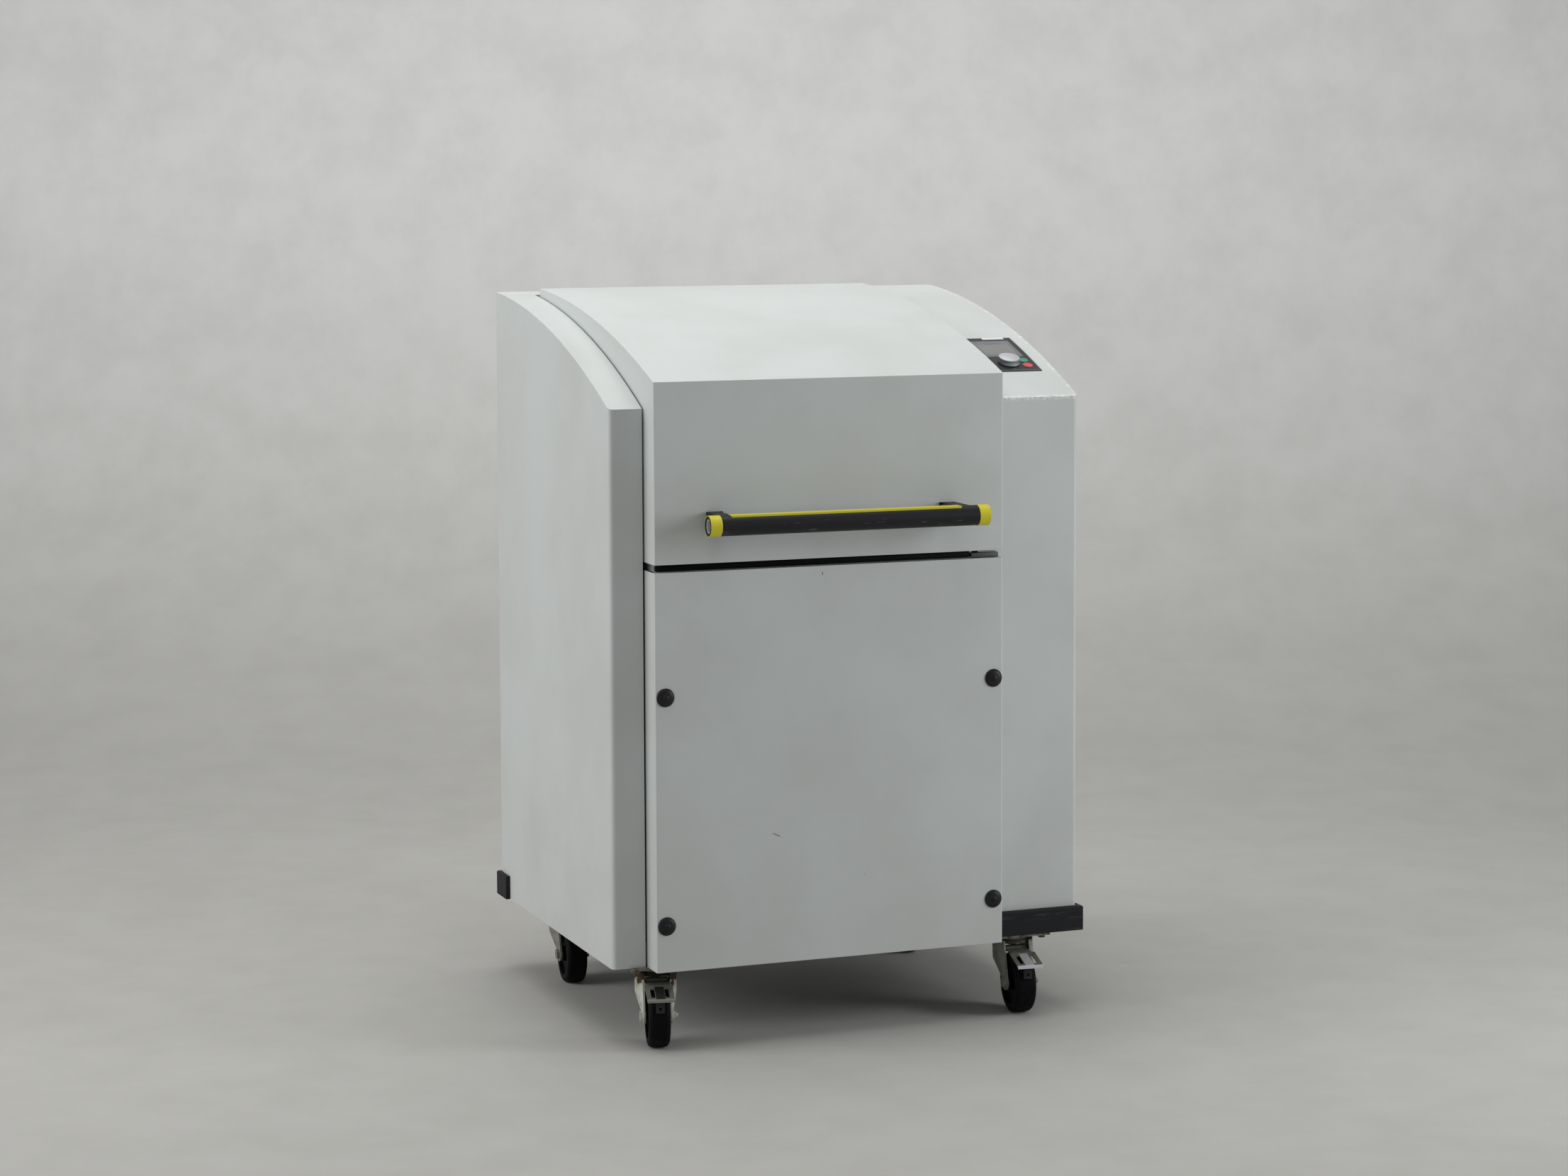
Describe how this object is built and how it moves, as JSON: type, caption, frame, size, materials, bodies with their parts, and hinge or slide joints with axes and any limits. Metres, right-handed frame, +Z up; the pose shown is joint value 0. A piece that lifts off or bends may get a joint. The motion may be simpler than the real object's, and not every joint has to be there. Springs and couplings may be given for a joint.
{
  "type": "planetary ball mill",
  "caption": "Floor-standing planetary ball mill: sheet metal cabinet on swivel casters with braked front wheels, hinged front hood with a bar handle, and clamped grinding jars on a sun wheel.",
  "frame": {"origin": "on the floor under the middle of the overall box", "axes": "+X to the right as seen from the front, +Y to the back of the machine, +Z up"},
  "size_m": [0.836, 0.78, 1.2025],
  "materials": {
    "cabinet_paint": "fine textured powder coat, light grey",
    "frame_paint": "satin powder coat, dark grey",
    "motor_paint": "satin enamel, blue grey",
    "black_plastic": "fine moulded grain",
    "grey_plastic": "moulded housing",
    "bumper_rubber": "matt, scuffed",
    "stainless": "fine turned or brushed",
    "steel": "machined",
    "cast_iron": "primed casting",
    "cast_aluminium": "cast, machined faces",
    "belt_rubber": "matt",
    "panel_film": "dark printed film with a display pane",
    "zinc": "zinc plated, dulled",
    "black_tube": "satin black",
    "yellow_plastic": "satin, yellow",
    "silver_knob": "satin",
    "green_key": "smooth",
    "red_key": "smooth",
    "black_tyre": "solid tyre, dusty"
  },
  "bodies": {
    "cabinet": {"base_frame": "frame_paint", "left_side_cover": "cabinet_paint", "right_side_cover": "cabinet_paint", "rear_cover": "cabinet_paint", "front_panel": "cabinet_paint", "cover_caps": "black_plastic", "corner_bumpers": "bumper_rubber", "chamber_tub": "stainless", "drive_plate": "cast_iron", "fixed_pulley": "cast_aluminium", "motor": "motor_paint", "drive_belt": "belt_rubber", "control_panel": "panel_film", "inverter_box": "grey_plastic", "power_inlet": "black_plastic", "hinge_pins": "steel", "lid_lock": "black_plastic", "caster_plates": "zinc"},
    "hood": {"hood_shell": "cabinet_paint", "handle_tube": "black_tube", "handle_trim": "yellow_plastic", "handle_feet": "black_plastic", "hood_brackets": "steel"},
    "lock_bolt": {"lock_bolt": "steel"},
    "selector_stem": {"selector_shaft": "steel"},
    "selector_knob": {"selector_knob": "silver_knob"},
    "start_key": {"start_key": "green_key"},
    "stop_key": {"stop_key": "red_key"},
    "mains_switch": {"mains_switch": "black_plastic"},
    "motor_pulley": {"motor_pulley": "steel"},
    "sun_wheel": {"sun_wheel": "cast_aluminium", "main_shaft": "steel", "planet_bearings": "steel", "planet_belts": "belt_rubber"},
    "station_1": {"jar_holder_1": "stainless", "grinding_jar_1": "stainless", "jar_lid_1": "stainless"},
    "clamp_screw_1": {"clamp_screw_1": "steel"},
    "station_2": {"jar_holder_2": "stainless", "grinding_jar_2": "stainless", "jar_lid_2": "stainless"},
    "clamp_screw_2": {"clamp_screw_2": "steel"},
    "station_3": {"jar_holder_3": "stainless", "grinding_jar_3": "stainless", "jar_lid_3": "stainless"},
    "clamp_screw_3": {"clamp_screw_3": "steel"},
    "station_4": {"jar_holder_4": "stainless", "grinding_jar_4": "stainless", "jar_lid_4": "stainless"},
    "clamp_screw_4": {"clamp_screw_4": "steel"},
    "caster_fork_front_left": {"caster_fork_front_left": "zinc"},
    "caster_wheel_front_left": {"caster_wheel_front_left": "black_tyre"},
    "brake_pedal_front_left": {"brake_pedal_front_left": "zinc"},
    "caster_fork_front_right": {"caster_fork_front_right": "zinc"},
    "caster_wheel_front_right": {"caster_wheel_front_right": "black_tyre"},
    "brake_pedal_front_right": {"brake_pedal_front_right": "zinc"},
    "caster_fork_back_left": {"caster_fork_back_left": "zinc"},
    "caster_wheel_back_left": {"caster_wheel_back_left": "black_tyre"},
    "caster_fork_back_right": {"caster_fork_back_right": "zinc"},
    "caster_wheel_back_right": {"caster_wheel_back_right": "black_tyre"}
  },
  "joints": [
    {"name": "hood_hinge", "type": "hinge", "parent": "cabinet", "child": "hood", "pos_m": [-0.0495, 0.285, 1.165], "axis": [-1, 0, 0], "range_deg": [0, 100]},
    {"name": "sun_spin", "type": "hinge", "parent": "cabinet", "child": "sun_wheel", "pos_m": [-0.0495, 0.004, 0.72], "axis": [0, 0, 1], "continuous": true},
    {"name": "motor_spin", "type": "hinge", "parent": "cabinet", "child": "motor_pulley", "pos_m": [-0.0495, 0.199, 0.44], "axis": [0, 0, 1], "continuous": true},
    {"name": "station_spin_1", "type": "hinge", "parent": "sun_wheel", "child": "station_1", "pos_m": [0.05658, 0.11008, 0.7403], "axis": [0, 0, 1], "continuous": true},
    {"name": "clamp_turn_1", "type": "hinge", "parent": "station_1", "child": "clamp_screw_1", "pos_m": [0.05658, 0.11008, 0.8933], "axis": [0, 0, 1], "range_deg": [0, 720]},
    {"name": "station_spin_2", "type": "hinge", "parent": "sun_wheel", "child": "station_2", "pos_m": [-0.15558, 0.11008, 0.7403], "axis": [0, 0, 1], "continuous": true},
    {"name": "clamp_turn_2", "type": "hinge", "parent": "station_2", "child": "clamp_screw_2", "pos_m": [-0.15558, 0.11008, 0.8933], "axis": [0, 0, 1], "range_deg": [0, 720]},
    {"name": "station_spin_3", "type": "hinge", "parent": "sun_wheel", "child": "station_3", "pos_m": [-0.15558, -0.10208, 0.7403], "axis": [0, 0, 1], "continuous": true},
    {"name": "clamp_turn_3", "type": "hinge", "parent": "station_3", "child": "clamp_screw_3", "pos_m": [-0.15558, -0.10208, 0.8933], "axis": [0, 0, 1], "range_deg": [0, 720]},
    {"name": "station_spin_4", "type": "hinge", "parent": "sun_wheel", "child": "station_4", "pos_m": [0.05658, -0.10208, 0.7403], "axis": [0, 0, 1], "continuous": true},
    {"name": "clamp_turn_4", "type": "hinge", "parent": "station_4", "child": "clamp_screw_4", "pos_m": [0.05658, -0.10208, 0.8933], "axis": [0, 0, 1], "range_deg": [0, 720]},
    {"name": "selector_push", "type": "slide", "parent": "cabinet", "child": "selector_stem", "axis": [0, 0.3522, -0.9359], "range_m": [0, 0.0008], "stiffness_N_per_m": 3000, "springref_m": -0.0005},
    {"name": "selector_turn", "type": "hinge", "parent": "selector_stem", "child": "selector_knob", "pos_m": [0.3355, -0.142, 1.08114], "axis": [0, -0.3522, 0.9359], "continuous": true},
    {"name": "start_push", "type": "slide", "parent": "cabinet", "child": "start_key", "axis": [0, 0.3473, -0.9377], "range_m": [0, 0.0006], "stiffness_N_per_m": 2000, "springref_m": -0.0005},
    {"name": "stop_push", "type": "slide", "parent": "cabinet", "child": "stop_key", "axis": [0, 0.3582, -0.9336], "range_m": [0, 0.0006], "stiffness_N_per_m": 2000, "springref_m": -0.0005},
    {"name": "mains_rock", "type": "hinge", "parent": "cabinet", "child": "mains_switch", "pos_m": [0.145, 0.373, 0.274], "axis": [1, 0, 0], "range_deg": [0, 18]},
    {"name": "lock_slide", "type": "slide", "parent": "cabinet", "child": "lock_bolt", "axis": [1, 0, 0], "range_m": [0, 0.012], "stiffness_N_per_m": 150, "springref_m": -0.01},
    {"name": "swivel_front_left", "type": "hinge", "parent": "cabinet", "child": "caster_fork_front_left", "pos_m": [-0.327, -0.226, 0.1127], "axis": [0, 0, 1], "continuous": true},
    {"name": "wheel_front_left", "type": "hinge", "parent": "caster_fork_front_left", "child": "caster_wheel_front_left", "pos_m": [-0.33555, -0.26303, 0.05], "axis": [0.9744, -0.225, 0], "continuous": true},
    {"name": "brake_front_left", "type": "hinge", "parent": "caster_fork_front_left", "child": "brake_pedal_front_left", "pos_m": [-0.3315, -0.24549, 0.104], "axis": [-0.9744, 0.225, 0], "range_deg": [0, 15]},
    {"name": "swivel_front_right", "type": "hinge", "parent": "cabinet", "child": "caster_fork_front_right", "pos_m": [0.305, -0.226, 0.1127], "axis": [0, 0, 1], "continuous": true},
    {"name": "wheel_front_right", "type": "hinge", "parent": "caster_fork_front_right", "child": "caster_wheel_front_right", "pos_m": [0.30103, -0.26379, 0.05], "axis": [0.9945, -0.1045, 0], "continuous": true},
    {"name": "brake_front_right", "type": "hinge", "parent": "caster_fork_front_right", "child": "brake_pedal_front_right", "pos_m": [0.30291, -0.24589, 0.104], "axis": [-0.9945, 0.1045, 0], "range_deg": [0, 15]},
    {"name": "swivel_back_left", "type": "hinge", "parent": "cabinet", "child": "caster_fork_back_left", "pos_m": [-0.327, 0.261, 0.1127], "axis": [0, 0, 1], "continuous": true},
    {"name": "wheel_back_left", "type": "hinge", "parent": "caster_fork_back_left", "child": "caster_wheel_back_left", "pos_m": [-0.33031, 0.22315, 0.05], "axis": [0.9962, -0.0872, 0], "continuous": true},
    {"name": "swivel_back_right", "type": "hinge", "parent": "cabinet", "child": "caster_fork_back_right", "pos_m": [0.305, 0.261, 0.1127], "axis": [0, 0, 1], "continuous": true},
    {"name": "wheel_back_right", "type": "hinge", "parent": "caster_fork_back_right", "child": "caster_wheel_back_right", "pos_m": [0.29906, 0.22347, 0.05], "axis": [0.9877, -0.1564, 0], "continuous": true}
  ],
  "couplings": [
    {"joint": "motor_spin", "follows": "sun_spin", "ratio": 3},
    {"joint": "station_spin_1", "follows": "sun_spin", "ratio": -3},
    {"joint": "station_spin_2", "follows": "sun_spin", "ratio": -3},
    {"joint": "station_spin_3", "follows": "sun_spin", "ratio": -3},
    {"joint": "station_spin_4", "follows": "sun_spin", "ratio": -3}
  ]
}
